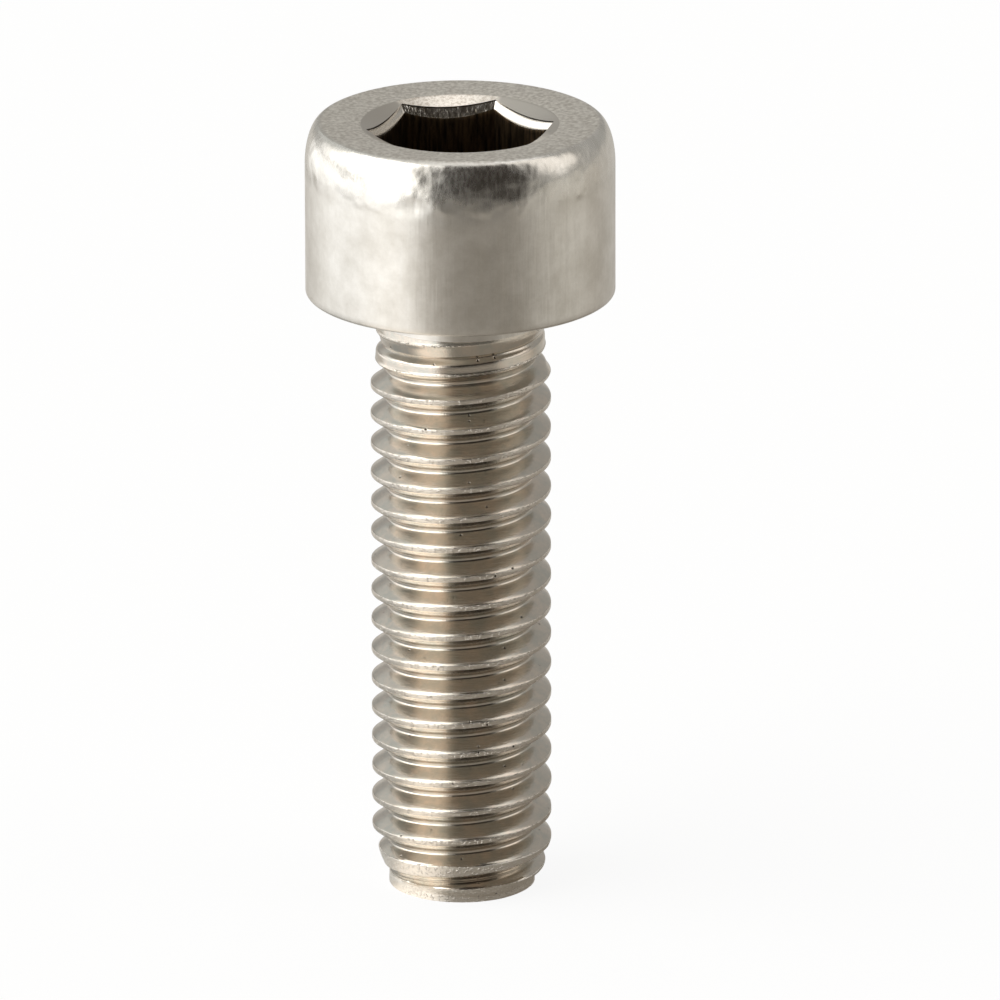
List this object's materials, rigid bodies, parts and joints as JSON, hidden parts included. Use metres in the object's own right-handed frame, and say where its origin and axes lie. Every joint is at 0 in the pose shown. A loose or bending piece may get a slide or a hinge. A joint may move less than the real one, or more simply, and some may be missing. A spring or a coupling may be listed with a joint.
{
  "type": "cylinder head screw",
  "caption": "Stainless steel hexagon socket head cap screw, M6 by 20 mm, threaded right up to a short neck under its tall cylindrical head with a rounded top edge.",
  "frame": {"origin": "middle of the flat end of the tip, which the screw stands on", "axes": "+Z along the screw's axis, from the tip up to the head; +X is 8 degrees clockwise of a corner of the hexagon, seen from above"},
  "size_m": [0.01, 0.01, 0.0258],
  "materials": {
    "stainless_steel": "satin"
  },
  "bodies": {
    "root": {"cylinder_head_screw": "stainless_steel"}
  },
  "joints": []
}
